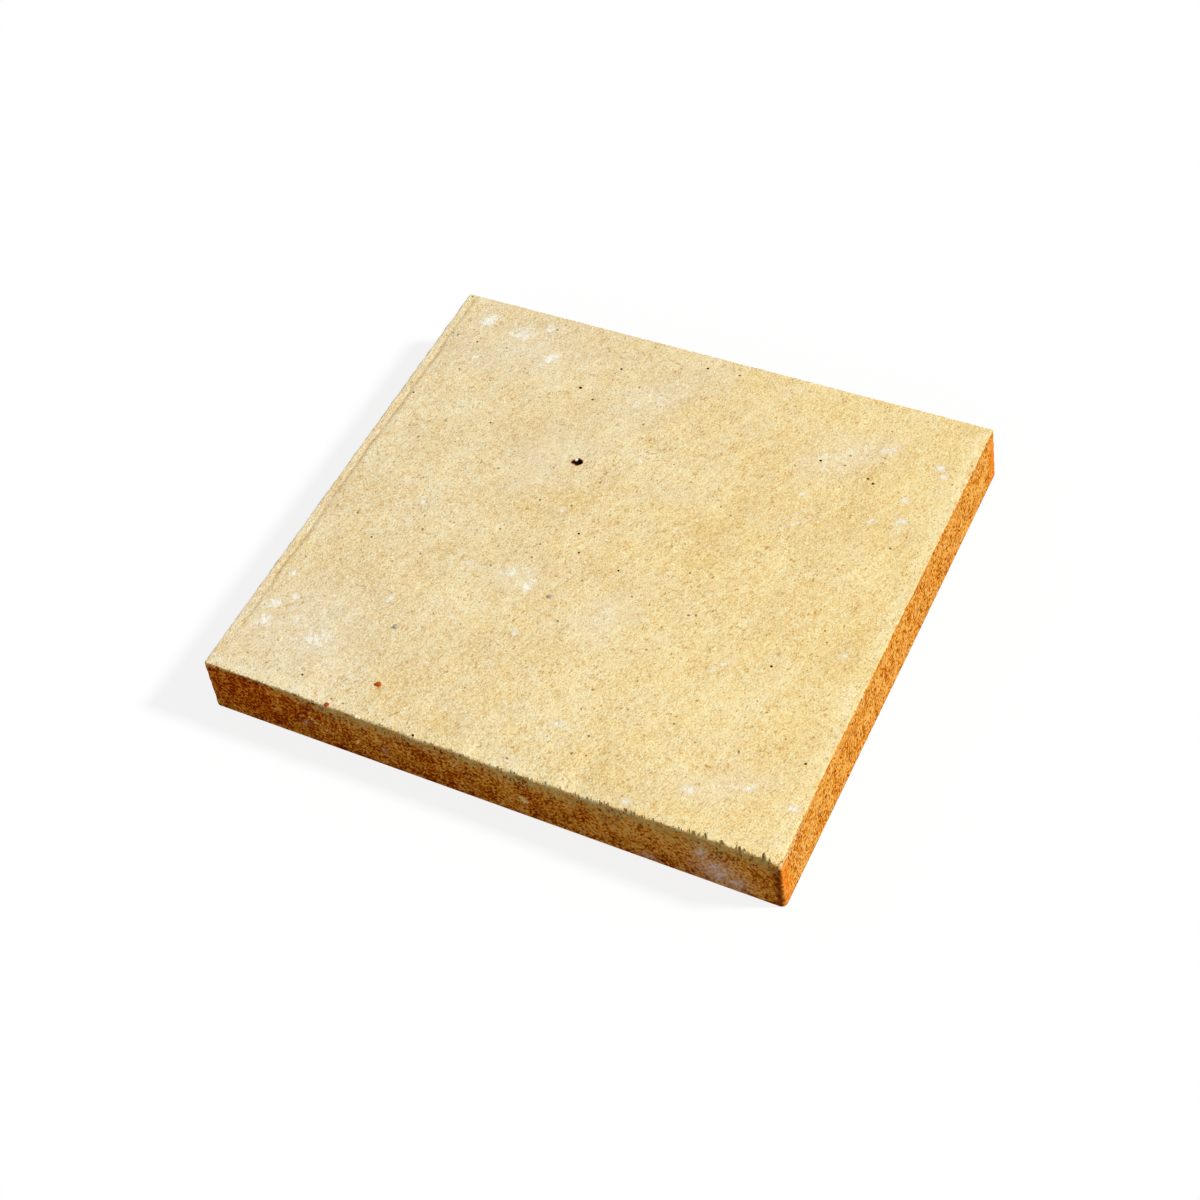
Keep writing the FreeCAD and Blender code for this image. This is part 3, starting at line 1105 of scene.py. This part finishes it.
def skin_colour(tree, place, finish):
    """Cream skin: mottled grain drawn out along the drag, brown spots, scratches, pale grains, pinholes, deep
    pores and warm patches. Gives colour and height."""
    # Painted highlight: the pale band along the arrises lightens the skin's tone
    pale_highlight_and_field = add_attribute(tree, "pale_highlight_and_field")
    fine = add_noise(tree, place, 1.3, 3, 0.7)
    medium = add_noise(tree, place, 0.35, 4, 0.65)
    broad = add_noise(tree, place, 0.03, 2, 0.5)
    short = dragged_noise(tree, place, 2.2, 0.9)
    long = dragged_noise(tree, place, 16, 2.6)
    tone = weighted_sum(
        tree,
        ((fine, 0.55), (medium, 0.18), (broad, 0.12), (short, 0.24), (long, 0.08), (pale_highlight_and_field, 0.045)),
    )
    colour = add_ramp(tree, tone, ((0.48, finish.ochre), (0.585, finish.cream), (0.69, finish.pale)))
    spots = add_noise(tree, place, 0.28, 4, 0.65)
    colour = add_coat(tree, colour, finish.tawny, add_range(tree, spots, 0.57, 0.74, 0.0, 0.7))
    scratch = add_range(tree, long, 0.62, 0.80, 0.0, 0.5)
    colour = add_coat(tree, colour, finish.pale, scratch)
    grain = add_dots(tree, shaken(tree, place, 1.2, 0.8), 0.30, 0.70, 0.22)
    colour = add_coat(tree, colour, finish.pale, grain, strength=0.9)
    crowded = weighted_sum(tree, ((dragged_noise(tree, place, 1.6, 0.85), 1.0), (spots, -0.4)))
    pinhole = add_range(tree, crowded, 0.185, 0.105)
    colour = add_coat(tree, colour, finish.pore, pinhole, strength=0.75)
    pore = add_dots(tree, shaken(tree, place, 1.5, 0.6), 0.33, 0.91, 0.21)
    colour = add_coat(tree, colour, finish.soot, pore, strength=0.8)
    patch = add_noise(tree, place, 0.09, 5, 0.65)
    heat = weighted_sum(tree, ((add_attribute(tree, "flash_and_shade"), 1.0), (patch, 1.4)))
    heat = add_math(tree, "SUBTRACT", heat, 0.7)
    warm = add_mix(tree, heat, COOL_TINT, WARM_TINT)
    colour = add_mix(tree, 1.0, colour, warm, "MULTIPLY")
    height = weighted_sum(
        tree,
        ((fine, 0.7), (medium, 0.6), (short, 0.4), (grain, 0.2), (pore, -0.2)),
    )
    return colour, height


def body_colour(tree, place, finish):
    """Bare body: charred red through orange to straw, by the flame, the front's painted shade and a coarse
    grain, with charred grains like pepper and a redder tint where the flash is low, which takes in the
    front's painted shade. Gives colour and height."""
    grain = add_noise(tree, place, 0.78, 4, 0.65)
    lump = add_noise(tree, place, 0.11, 3, 0.6)
    flash_and_shade = add_attribute(tree, "flash_and_shade")
    right = add_attribute(tree, "right")
    contrast = add_math(tree, "MULTIPLY", right, add_math(tree, "SUBTRACT", grain, 0.5))
    flame = weighted_sum(tree, ((flash_and_shade, 1.0), (grain, 4.7), (lump, 1.6), (contrast, 0.4)))
    tone = add_math(tree, "SUBTRACT", flame, 3.13)
    stops = (
        (0.0, finish.char),
        (0.25, finish.burnt),
        (0.5, finish.orange),
        (0.75, finish.amber),
        (1.0, finish.straw),
    )
    pepper = add_dots(tree, shaken(tree, place, 1.2, 0.9), 0.24, 0.62, 0.20)
    colour = add_ramp(tree, tone, stops)
    colour = add_coat(tree, colour, finish.char, pepper, strength=0.65)
    scorch = add_range(tree, weighted_sum(tree, ((flash_and_shade, 1.0), (lump, 0.6))), 0.68, 0.42)
    scorched = add_mix(tree, scorch, WHITE, SCORCH_TINT)
    colour = add_mix(tree, 1.0, colour, scorched, "MULTIPLY")
    height = weighted_sum(tree, ((grain, 1.0), (lump, 0.6), (pepper, -0.4)))
    return colour, height


def new_finish(name, roughness):
    """Empty dull material: gives it, its nodes and its shader."""
    material = bpy.data.materials.new(name)
    material.use_nodes = True
    tree = material.node_tree
    shader = tree.nodes["Principled BSDF"]
    shader.inputs["Roughness"].default_value = roughness
    shader.inputs["Specular IOR Level"].default_value = 0.0
    return material, tree, shader


def fired_clay(finish):
    """Finish of the slab: skin over body by the skin's hold, then the ember ends, painted shade with the
    front's nicks, a veil of dust, crisp dust and the burnt pit, each laid over what is below it."""
    material, tree, shader = new_finish("fired_clay", roughness=0.95)
    place = millimetres(tree)
    skin, skin_height = skin_colour(tree, place, finish)
    body, body_height = body_colour(tree, place, finish)
    hold = add_attribute(tree, "skin")
    right = add_attribute(tree, "right")
    thickness = add_math(tree, "MAXIMUM", add_range(tree, hold, 1.0, 1.3), right)
    tint = add_mix(tree, thickness, opaque(finish.thin), WHITE)
    skin = add_mix(tree, 1.0, skin, tint, "MULTIPLY")
    clot = add_noise(tree, place, 0.75, 4, 0.65)
    ragged = add_range(tree, clot, 0.3, 0.7, -1.2, 0.9)
    ragged = add_math(tree, "MULTIPLY", ragged, add_range(tree, hold, 0.0, 0.35))
    ragged = add_math(tree, "MULTIPLY", ragged, add_range(tree, hold, 1.43, 1.30))
    ragged = add_math(tree, "MULTIPLY", ragged, add_range(tree, right, 0.0, 1.0, 1.0, 0.35))
    covered = add_range(tree, add_math(tree, "ADD", hold, ragged), 0.05, 0.75)
    colour = add_mix(tree, covered, body, skin)
    ember = add_attribute(tree, "ember")
    glow = add_range(tree, weighted_sum(tree, ((ember, 1.0), (clot, 2.0))), 1.3, 2.2, 0.0, 0.7)
    glow = add_math(tree, "MULTIPLY", glow, add_range(tree, ember, 0.0, 0.3))
    colour = add_coat(tree, colour, finish.ember, glow)
    # Painted shade, with the front's nicks, darkens the colour here
    shade_and_nicks = add_attribute(tree, "shade_and_nicks")
    shade_and_nicks_colour = add_mix(tree, covered, opaque(finish.char), opaque(finish.pore))
    colour = add_mix(tree, shade_and_nicks, colour, shade_and_nicks_colour)
    chalk = add_attribute(tree, "chalk")
    veil = add_mix(tree, covered, opaque(finish.ash), opaque(finish.haze))
    colour = add_mix(tree, add_math(tree, "MULTIPLY", chalk, 0.65), colour, veil)
    grit = add_noise(tree, place, 0.55, 4, 0.7)
    crisp = add_range(tree, weighted_sum(tree, ((chalk, 0.75), (grit, 2.6))), 1.68, 1.88)
    crisp = add_math(tree, "MULTIPLY", crisp, add_range(tree, chalk, 0.05, 0.5))
    dust = add_mix(tree, covered, opaque(finish.ash), opaque(finish.chalk))
    colour = add_mix(tree, crisp, colour, dust)
    burn = add_attribute(tree, "burn")
    colour = add_coat(tree, colour, finish.rust, add_range(tree, burn, 0.02, 0.4, 0.0, 0.85))
    colour = add_coat(tree, colour, finish.iron, add_range(tree, burn, 0.3, 0.7))
    tree.links.new(colour, shader.inputs["Base Color"])
    height = add_mix(tree, covered, body_height, skin_height)
    bump = add_node(tree, "ShaderNodeBump", {"Height": height, "Strength": 0.8, "Distance": 0.7 * MM})
    tree.links.new(bump.outputs[0], shader.inputs["Normal"])
    return material


def lump_finish(name, dark, middle, light):
    """Finish of joined lumps: each lump has its own tone, with some fine grain."""
    material, tree, shader = new_finish(name, roughness=0.9)
    grain = add_noise(tree, millimetres(tree), 1.6, 3, 0.6)
    tone = weighted_sum(tree, ((add_attribute(tree, "tone"), 0.6), (grain, 0.4)))
    colour = add_ramp(tree, tone, ((0.25, dark), (0.5, middle), (0.75, light)))
    tree.links.new(colour, shader.inputs["Base Color"])
    return material


def plain_finish(name, colour):
    """Finish of lumps that are all of one colour."""
    material, _, shader = new_finish(name, roughness=0.9)
    shader.inputs["Base Color"].default_value = opaque(colour)
    return material


# Stage

def shown_to_camera(tree):
    """1 for rays straight from the camera or by way of a mirror or glass, 0 for those that light things."""
    path = add_node(tree, "ShaderNodeLightPath").outputs
    seen = add_math(tree, "MAXIMUM", path["Is Camera Ray"], path["Is Glossy Ray"])
    return add_math(tree, "MAXIMUM", seen, path["Is Transmission Ray"])


def add_floor():
    """Wide pale floor: white to the camera with a light shadow, and a dull bounce for everything else."""
    mesh = bpy.data.meshes.new("floor")
    corners = [(x * FLOOR_HALF, y * FLOOR_HALF, -FLOOR_GAP) for x, y in ((-1, -1), (1, -1), (1, 1), (-1, 1))]
    mesh.from_pydata(corners, [], [(0, 1, 2, 3)])
    material = bpy.data.materials.new("pale_floor")
    material.use_nodes = True
    tree = material.node_tree
    tree.nodes.remove(tree.nodes["Principled BSDF"])
    dull = opaque([FLOOR_BOUNCE] * 3)
    bounce = add_node(tree, "ShaderNodeBsdfDiffuse", {"Color": dull}).outputs[0]
    white = add_node(tree, "ShaderNodeBsdfDiffuse", {"Color": WHITE}).outputs[0]
    glow = add_node(tree, "ShaderNodeEmission", {"Color": WHITE, "Strength": 1.0}).outputs[0]
    shown = add_node(tree, "ShaderNodeMixShader", {0: FLOOR_GLOW, 1: white, 2: glow}).outputs[0]
    mixed = add_node(tree, "ShaderNodeMixShader", {0: shown_to_camera(tree), 1: bounce, 2: shown}).outputs[0]
    tree.links.new(mixed, tree.nodes["Material Output"].inputs["Surface"])
    mesh.materials.append(material)
    floor = bpy.data.objects.new("floor", mesh)
    bpy.context.scene.collection.objects.link(floor)


def add_sun(name, level, azimuth, elevation, spread):
    """Soft sun at that turn from +X towards +Y and that height above the horizon."""
    lamp = bpy.data.lights.new(name, "SUN")
    lamp.energy = level * math.pi
    lamp.angle = spread
    sun = bpy.data.objects.new(name, lamp)
    reach = math.cos(elevation)
    towards = Vector((reach * math.cos(azimuth), reach * math.sin(azimuth), math.sin(elevation)))
    sun.rotation_euler = towards.to_track_quat("Z", "Y").to_euler()
    bpy.context.scene.collection.objects.link(sun)


def add_fill(level):
    """Even light from all round that shows white to the camera."""
    world = bpy.data.worlds.new("studio")
    world.use_nodes = True
    tree = world.node_tree
    fill = tree.nodes["Background"]
    fill.inputs["Color"].default_value = WHITE
    fill.inputs["Strength"].default_value = level
    white = add_node(tree, "ShaderNodeBackground", {"Color": WHITE, "Strength": 1.0}).outputs[0]
    inputs = {0: shown_to_camera(tree), 1: fill.outputs[0], 2: white}
    mixed = add_node(tree, "ShaderNodeMixShader", inputs).outputs[0]
    tree.links.new(mixed, tree.nodes["World Output"].inputs["Surface"])
    bpy.context.scene.world = world


def add_camera(stage):
    """Camera on a sphere round its aim, by azimuth and elevation, then rolled about its line of sight."""
    level = math.cos(stage.elevation)
    back = Vector((
        level * math.sin(stage.azimuth),
        -level * math.cos(stage.azimuth),
        math.sin(stage.elevation),
    ))
    right = Vector((0, 0, 1)).cross(back).normalized()
    up = back.cross(right)
    across = right * math.cos(stage.roll) + up * math.sin(stage.roll)
    upward = up * math.cos(stage.roll) - right * math.sin(stage.roll)
    lens = bpy.data.cameras.new("camera")
    lens.sensor_fit = "HORIZONTAL"
    lens.angle = stage.field
    camera = bpy.data.objects.new("camera", lens)
    axes = Matrix((across, upward, back)).transposed().to_4x4()
    camera.matrix_world = Matrix.Translation(Vector(stage.aim) + back * stage.distance) @ axes
    bpy.context.scene.collection.objects.link(camera)
    bpy.context.scene.camera = camera


# Operators

class FIREBRICK_OT_press_slab(bpy.types.Operator):
    """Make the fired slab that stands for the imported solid"""

    bl_idname = "firebrick.press_slab"
    bl_label = "Fired slab"

    def execute(self, context):
        settings = context.scene.firebrick
        points, groups, read = slab_surface(SlabPlan(settings.shape))
        faces = [face for group, _ in groups for face in group.tolist()]
        piece = add_piece("fired_slab", points, faces, read, fired_clay(settings.finish))
        layout = piece.data.uv_layers.new(name="OFBake")
        corners = np.concatenate([corner.reshape(-1, 2) for _, corner in groups])
        layout.uv.foreach_set("vector", corners.astype(np.float32).ravel())
        if piece.data.validate():
            raise RuntimeError("the slab's net is not sound")
        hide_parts(NODE)
        return {"FINISHED"}


class FIREBRICK_OT_set_specks(bpy.types.Operator):
    """Let iron specks, red crumbs, grey grains and pale crumbs into the struck face"""

    bl_idname = "firebrick.set_specks"
    bl_label = "Specks"

    def execute(self, context):
        settings = context.scene.firebrick
        plan = SlabPlan(settings.shape)
        finish = settings.finish
        iron = lump_finish("burnt_iron", finish.iron, finish.iron, finish.soot)
        add_piece("iron_specks", *struck_specks(plan, IRON_SPECKS, seed=61), iron)
        rust = lump_finish("red_brick", finish.maroon, finish.maroon, finish.rust)
        add_piece("rust_specks", *struck_specks(plan, RUST_SPECKS, seed=62), rust)
        grey = lump_finish("grey_clay", finish.grey, finish.grey, finish.cream)
        add_piece("grey_specks", *struck_specks(plan, GREY_SPECKS, seed=63), grey)
        pale = lump_finish("crumb_chalk", finish.pale, finish.chalk, finish.chalk)
        add_piece("pale_crumbs", *struck_specks(plan, PALE_CRUMBS, seed=64), pale)
        return {"FINISHED"}


class FIREBRICK_OT_scatter_crumbs(bpy.types.Operator):
    """Scatter crumbs along the front arris, grit on the sides, and chips and ridges on the front side"""

    bl_idname = "firebrick.scatter_crumbs"
    bl_label = "Crumbs, grit, chips and ridges"

    def execute(self, context):
        settings = context.scene.firebrick
        plan = SlabPlan(settings.shape)
        finish = settings.finish
        # Painted shade: the crumbs are mostly the dark olive of their shaded side
        crumb = lump_finish("shaded_crumb_clay", finish.shaded_olive, finish.shaded_olive, finish.ochre)
        add_piece("arris_crumbs", *arris_crumbs(plan, seed=71), crumb)
        grit = lump_finish("grit_clay", finish.burnt, finish.orange, finish.straw)
        add_piece("side_grit", *side_grit(plan, seed=72), grit)
        chip = lump_finish("pale_clay", finish.cream, finish.pale, finish.chalk)
        add_piece("pale_chips", *front_chips(plan, PALE_CHIPS, stand=0.7, seed=73), chip)
        torn = lump_finish("torn_clay", finish.amber, finish.straw, finish.lit_flake)
        add_piece("front_ridges", *front_ridges(plan, seed=75), torn)
        # Painted light: the straw chips are all of the palest flake colour, for the light that they catch
        straw = plain_finish("straw_clay", finish.lit_flake)
        add_piece("straw_chips", *front_chips(plan, STRAW_CHIPS, stand=1.3, seed=74), straw)
        return {"FINISHED"}


class FIREBRICK_OT_set_stage(bpy.types.Operator):
    """Set the pale floor, the soft studio light and the camera"""

    bl_idname = "firebrick.set_stage"
    bl_label = "Studio stage"

    def execute(self, context):
        stage = context.scene.firebrick.stage
        context.scene.view_settings.view_transform = "Standard"
        add_floor()
        add_sun("key", stage.key_level, stage.key_azimuth, stage.key_elevation, stage.key_spread)
        add_sun("front", stage.front_level, stage.front_azimuth, stage.front_elevation, stage.front_spread)
        add_fill(stage.fill_level)
        add_camera(stage)
        return {"FINISHED"}


class FIREBRICK_PT_sidebar(bpy.types.Panel):
    """Lists the slab's operators and settings"""

    bl_label = "Firebrick"
    bl_idname = "FIREBRICK_PT_sidebar"
    bl_space_type = "VIEW_3D"
    bl_region_type = "UI"
    bl_category = "Firebrick"

    def draw(self, context):
        settings = context.scene.firebrick
        for operator in OPERATORS:
            self.layout.operator(operator.bl_idname)
        for group in (settings.shape, settings.finish, settings.stage):
            box = self.layout.box()
            for key in group.__annotations__:
                box.prop(group, key)


OPERATORS = (
    FIREBRICK_OT_press_slab,
    FIREBRICK_OT_set_specks,
    FIREBRICK_OT_scatter_crumbs,
    FIREBRICK_OT_set_stage,
)
CLASSES = (SlabShape, ClayFinish, StudioStage, FirebrickSettings, *OPERATORS, FIREBRICK_PT_sidebar)


def register():
    for item in CLASSES:
        bpy.utils.register_class(item)
    bpy.types.Scene.firebrick = PointerProperty(type=FirebrickSettings)


def unregister():
    del bpy.types.Scene.firebrick
    for item in reversed(CLASSES):
        bpy.utils.unregister_class(item)


def main():
    register()
    bpy.ops.firebrick.press_slab()
    bpy.ops.firebrick.set_specks()
    bpy.ops.firebrick.scatter_crumbs()
    bpy.ops.firebrick.set_stage()
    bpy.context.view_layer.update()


if __name__ == "__main__":
    main()
